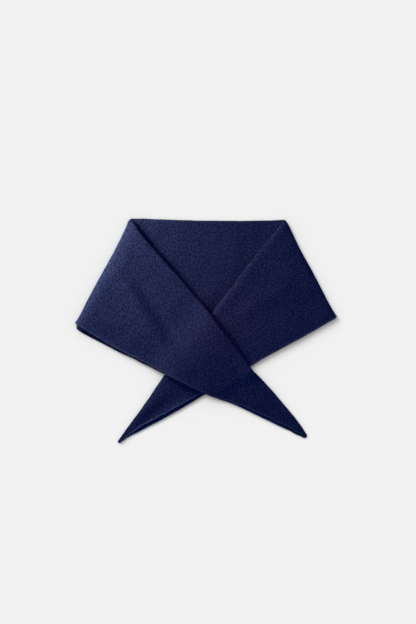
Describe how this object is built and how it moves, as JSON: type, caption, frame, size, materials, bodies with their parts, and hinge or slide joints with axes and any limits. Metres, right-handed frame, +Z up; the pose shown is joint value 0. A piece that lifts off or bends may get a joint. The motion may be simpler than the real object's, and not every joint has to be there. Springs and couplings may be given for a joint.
{
  "type": "bandana",
  "caption": "Doubled knitted wool triangle bandana laid flat, both ends folded over the back and crossed at the front with the points hanging free.",
  "frame": {"origin": "on the surface it lies on, under the middle of the folded outline", "axes": "+X across the bandana from the left fold to the right fold, +Y towards the straight top edge, +Z up off the surface"},
  "size_m": [0.3262, 0.2805, 0.0131],
  "materials": {
    "wool_knit": "soft brushed wool knit, dark navy, matt with a light nap"
  },
  "bodies": {
    "root": {"back_stretch": "wool_knit", "right_stretch": "wool_knit", "left_stretch": "wool_knit"}
  },
  "joints": []
}
